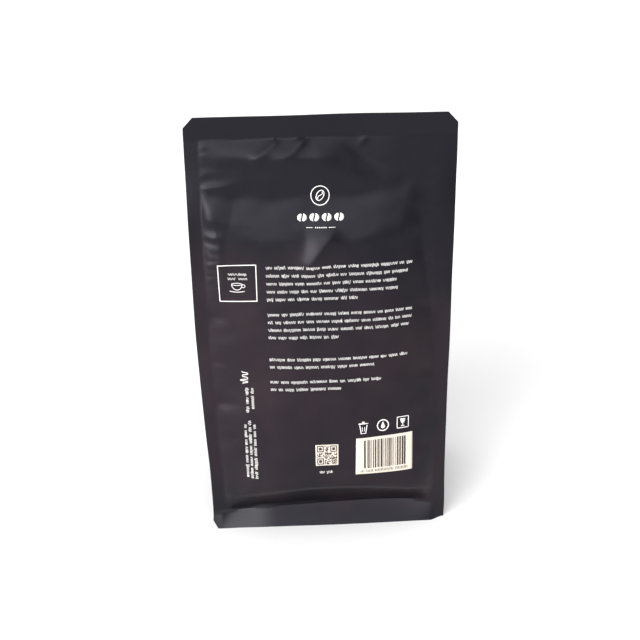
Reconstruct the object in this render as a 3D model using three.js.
import * as THREE from "three";
import { ParametricGeometry } from "three/addons/geometries/ParametricGeometry.js";
import { mergeGeometries, mergeVertices } from "three/addons/utils/BufferGeometryUtils.js";

// A shut stand-up pouch of coffee in matte film, standing on its flat base.
// Millimetres. X runs across the printed front, Y from front to back, Z up from the table.

const bagTall = 228;
const headerFrom = 217;
const finWide = 7;
const clipTop = 5;
const clipFootWide = 3;
const clipFootTall = 5.4;
const filmThick = 0.8;
const skirtTall = 9.5;
const footDepth = 40.6;
const slotDeepest = 27;

// The front's foot bends back at its right end, and its fold line dips by a slope and an offset.
const bendWide = 9;
const bendBack = 3.2;
const bendTall = 9;
const dipSlope = 0.022;
const dipOffset = -0.4;
const dipFade = 24;

// The base hangs in a soft rim from the fold lines, highest near its two ends.
const baseRim = 0.45;
const endRim = 0.2;
const endSag = 0.75;
const sagFade = 40;

// Distance of the film's left and right edges from the middle line, as [height, distance].
const leftEdge = [
  [0, 67.0], [12, 66.5], [35, 66.3], [60, 67.2], [90, 68.3], [125, 68.7], [160, 68.4], [200, 68.0],
  [228, 67.3],
];
const rightEdge = [
  [0, 68.2], [12, 68.2], [25, 67.7], [60, 67.4], [110, 67.8], [150, 68.2], [195, 68.7], [214, 68.7],
  [228, 68.4],
];

// Half the depth between the front and back fins, as [height, half depth].
const finDepth = [
  [skirtTall, 36.2], [14, 35.6], [20, 35.2], [31, 34.4], [46, 32.1], [80, 25.8], [130, 16.7], [180, 7.5],
  [headerFrom, filmThick],
];

// How far the panel stands off its fins on the middle line, as [height, distance].
// It is pinched in at the skirt's fold line and overhangs the skirt above it.
const swell = [
  [0, 0], [4, -2.2], [8.6, -4.8], [skirtTall, -5.2], [10.4, -4.6], [14, -1.8], [20, 2.3], [26, 6.4],
  [28.5, 8.2], [30.3, 9.4], [31.5, 9.8], [33, 9.8], [40, 9.5], [50, 9.2], [75, 8.4], [105, 7.2], [140, 5.5],
  [160, 5.2], [167.5, 5.0], [170.5, 4.5], [176, 3.2], [182, 1.7], [187, 0.7], [191, 0.6], [196, 1.3],
  [203, 2.9], [207.5, 3.4], [210, 2.9], [213.5, 1.5], [headerFrom, 0],
];

// By height: X from which the panel lies flat on the right, how blunt its bulge is across, and its slope at
// the left seam higher up. The overhang's crest sinks by up to arch towards the sides.
const flatFromRight = [
  [0, 61.2], [80, 60.8], [130, 57], [161, 52], [190, 49], [200, 40], [208, 24], [headerFrom, 19],
];
const fullness = [[0, 5], [10, 5], [20, 4], [30, 3.6], [45, 3], [110, 2.4], [160, 3], [headerFrom, 3.4]];
const seamSlope = [[160, 0.26], [188, 0.26], [198, 0.08], [203, 0.08], [209, 0.2], [headerFrom, 0.2]];
const arch = 10;

// Heights between which one shape passes into the next: the bulge's middle drifts to the left, the sunk
// crest comes and goes, the right side softens, the left seam steepens and the side fold turns to a crease.
const driftLeft = 3;
const driftZone = [120, 200];
const crestRise = [skirtTall, 26];
const crestFall = [34, 80];
const softZone = [186, 204];
const softShare = 0.85;
const steepZone = [156, 172];
const creaseZone = [130, 175];

// Depth of the inward side fold, negative where the contents push the side out.
const sideFold = [
  [skirtTall, 0], [30, -2.6], [70, -3.2], [115, -1.5], [140, 4], [165, 14], [190, 23], [205, slotDeepest],
  [212, 22], [headerFrom, 0],
];

// Grid over one panel: its columns are counted from the left edge, its rows from the foot.
const innerColumns = 32;
const columns = innerColumns + 4;
const rowHeights = [
  0, 3.2, 6.4, skirtTall, 12, 15, 18.5, 22, 25.5, 28.5, 31, 35, 40, 47, 54, 61, 68, 75, 82, 89, 96, 103,
  110, 117, 124, 131, 137, 143, 149, 154, 159, 164, 168, 171, 175, 179, 183, 187, 191, 195, 199, 203, 206.5,
  210, 213.5, headerFrom, 222.5, bagTall,
];
const rows = rowHeights.length - 1;
const rootRow = rowHeights.indexOf(skirtTall);
const headerRow = rowHeights.indexOf(headerFrom);
const foldSteps = 12;

// Smooth curve through [position, value] pairs, straight past its ends.
function glide(at, pairs) {
  const last = pairs.length - 1;
  if (at <= pairs[0][0]) return pairs[0][1];
  if (at >= pairs[last][0]) return pairs[last][1];
  let n = 0;
  while (at > pairs[n + 1][0]) n++;
  const slope = (k) => {
    const a = pairs[Math.max(k - 1, 0)];
    const b = pairs[Math.min(k + 1, last)];
    return (b[1] - a[1]) / (b[0] - a[0]);
  };
  const span = pairs[n + 1][0] - pairs[n][0];
  const t = (at - pairs[n][0]) / span;
  const rise = pairs[n + 1][1] - pairs[n][1];
  const ease = t * t * (3 - 2 * t);
  return pairs[n][1] + rise * ease + span * t * (1 - t) * ((1 - t) * slope(n) - t * slope(n + 1));
}

// Half depth at the fins: the skirt leans out to the foot and the header's two films lie together.
function halfDepth(z) {
  if (z < skirtTall) return THREE.MathUtils.lerp(footDepth, finDepth[0][1], z / skirtTall);
  if (z >= headerFrom) return filmThick;
  return glide(z, finDepth);
}

// How far the panel stands off its fins, 0 at the fins and the header: a blunt bulge between the two seams.
// Higher up it falls off softly to the flat part on the right and leaves the left seam at a steady slope.
function stand(x, z) {
  if (z >= headerFrom) return 0;
  const middle = -driftLeft * THREE.MathUtils.smoothstep(z, ...driftZone);
  const left = finWide - glide(z, leftEdge);
  const reach = x < middle ? middle - left : glide(z, flatFromRight) - middle;
  const share = Math.min(Math.abs(x - middle) / reach, 1);
  const risen = THREE.MathUtils.smoothstep(z, ...crestRise);
  const sunk = arch * risen * (1 - THREE.MathUtils.smoothstep(z, ...crestFall));
  const tall = glide(z + sunk * share ** 2.5, swell);
  const blunt = 1 - share ** glide(z, fullness);
  if (x >= middle) {
    const soft = 1 - THREE.MathUtils.smoothstep(share, 0, softShare);
    return tall * THREE.MathUtils.lerp(blunt, soft, THREE.MathUtils.smoothstep(z, ...softZone));
  }
  const steep = glide(z, seamSlope) / Math.max(tall, 0.2);
  const tight = Math.tanh(steep * Math.max(x - left, 0)) / Math.tanh(steep * (middle - left));
  return tall * THREE.MathUtils.lerp(blunt, tight, THREE.MathUtils.smoothstep(z, ...steepZone));
}

// X of a column at a height. The two outer columns at each side lie on the fin.
function columnX(i, z) {
  const left = -glide(z, leftEdge);
  const right = glide(z, rightEdge);
  const cut = clipFootWide * Math.max(0, 1 - z / clipFootTall);
  if (i === 0) return left + cut;
  if (i === 1) return left + clipTop;
  if (i === columns) return right;
  if (i === columns - 1) return right - clipTop;
  return THREE.MathUtils.lerp(left + finWide, right - finWide, (i - 2) / innerColumns);
}

// Height of a grid point: the header's corners are clipped and the skirt's fold line dips to the left.
function pointZ(i, j, x) {
  const z = rowHeights[j];
  if (j === rows && (i === 0 || i === columns)) return z - clipTop;
  const near = z <= skirtTall ? z / skirtTall : Math.max(0, 1 - (z - skirtTall) / dipFade);
  return z + (dipSlope * x + dipOffset) * near;
}

// One film point. side is -1 for the front and 1 for the back, depth is 0 on its outer face and 1 on its
// inner one.
function filmPoint(side, depth, i, j, target) {
  const z = rowHeights[j];
  const x = columnX(i, z);
  const end = rightEdge[0][1];
  const turned = THREE.MathUtils.smoothstep(x, end - bendWide, end) * Math.max(0, 1 - z / bendTall);
  const bent = side < 0 ? bendBack * turned : 0;
  const y = Math.max(halfDepth(z) + stand(x, z) - bent - depth * filmThick, 0);
  return target.set(x, side * y, pointZ(i, j, x));
}

// One point of a side fold, k steps from the front fin to the back fin.
function foldPoint(left, k, j, target) {
  const z = rowHeights[j];
  const column = left ? 2 : columns - 2;
  const q = (2 * k) / foldSteps - 1;
  filmPoint(-1, 1, column, j, target);
  const creased = THREE.MathUtils.smoothstep(z, ...creaseZone);
  const inward = glide(z, sideFold) * THREE.MathUtils.lerp(1 - q * q, 1 - Math.abs(q), creased);
  const sag = endSag * settled(q, baseRim) * Math.max(0, 1 - (z - skirtTall) / sagFade);
  const lowered = target.z * (1 - sag * (skirtTall / z));
  return target.set(target.x + (left ? inward : -inward), -target.y * q, lowered);
}

// 0 at the ends of -1..1 and 1 over its middle.
function settled(q, rim) {
  return THREE.MathUtils.smoothstep(1 - Math.abs(q), 0, rim);
}

// One point of the base, which hangs from the skirts' fold lines and lies flat on the table in its middle.
function basePoint(i, k, target) {
  const q = (2 * k) / foldSteps - 1;
  filmPoint(-1, 1, i, rootRow, target);
  const along = settled((2 * (i - 2)) / innerColumns - 1, endRim);
  const flat = settled(q, baseRim) * THREE.MathUtils.lerp(endSag, 1, along);
  return target.set(target.x, -target.y * q, target.z * (1 - flat));
}

// A patch between whole steps of two counters, each running either way.
function patch(from, to, low, high, place) {
  const across = Math.abs(to - from);
  const up = Math.abs(high - low);
  const at = (start, end, share) => Math.round(THREE.MathUtils.lerp(start, end, share));
  const point = (u, v, target) => place(at(from, to, u), at(low, high, v), target);
  return new ParametricGeometry(point, across, up);
}

// Outer face of the front and of the back.
const patches = [
  patch(0, columns, 0, rows, (i, j, p) => filmPoint(-1, 0, i, j, p)),
  patch(columns, 0, 0, rows, (i, j, p) => filmPoint(1, 0, i, j, p)),
];

// Inner faces of the fins and skirts, and the film's cut edges below the header.
for (const side of [-1, 1]) {
  const turned = (a, b) => (side < 0 ? [b, a] : [a, b]);
  const inner = (i, j, p) => filmPoint(side, 1, i, j, p);
  patches.push(
    patch(...turned(0, 2), 0, headerRow, inner),
    patch(...turned(columns - 2, columns), 0, headerRow, inner),
    patch(...turned(2, columns - 2), 0, rootRow, inner),
    patch(...turned(0, 1), 0, headerRow, (d, j, p) => filmPoint(side, d, 0, j, p)),
    patch(...turned(1, 0), 0, headerRow, (d, j, p) => filmPoint(side, d, columns, j, p)),
    patch(...turned(0, columns), 0, 1, (i, d, p) => filmPoint(side, d, i, 0, p)),
  );
}

// Cut edges of the header, from the front film through the seam to the back film.
function throughHeader(step, i, j, target) {
  filmPoint(-1, 0, i, j, target);
  return target.setY(target.y * (1 - step));
}
patches.push(
  patch(2, 0, headerRow, rows, (s, j, p) => throughHeader(s, 0, j, p)),
  patch(0, 2, headerRow, rows, (s, j, p) => throughHeader(s, columns, j, p)),
  patch(0, columns, 0, 2, (i, s, p) => throughHeader(s, i, rows, p)),
);

// Side folds and base.
patches.push(
  patch(foldSteps, 0, rootRow, headerRow, (k, j, p) => foldPoint(true, k, j, p)),
  patch(0, foldSteps, rootRow, headerRow, (k, j, p) => foldPoint(false, k, j, p)),
  patch(columns - 2, 2, 0, foldSteps, (i, k, p) => basePoint(i, k, p)),
);

// The patches share their borders, so joining equal points closes the bag.
function joined(list) {
  const whole = mergeGeometries(list);
  whole.deleteAttribute("normal");
  whole.deleteAttribute("uv");
  const closed = mergeVertices(whole, 1e-3);
  const index = closed.index.array;
  const kept = [];
  for (let n = 0; n < index.length; n += 3) {
    const [a, b, c] = index.slice(n, n + 3);
    if (a !== b && b !== c && c !== a) kept.push(a, b, c);
  }
  closed.setIndex(kept);
  closed.computeVertexNormals();
  return closed;
}

const film = new THREE.MeshStandardMaterial({ color: 0x333136, roughness: 0.52, metalness: 0 });
const bag = new THREE.Mesh(joined(patches), film);
bag.name = "coffee_bag";

const group = new THREE.Group();
group.add(bag);

export default group;
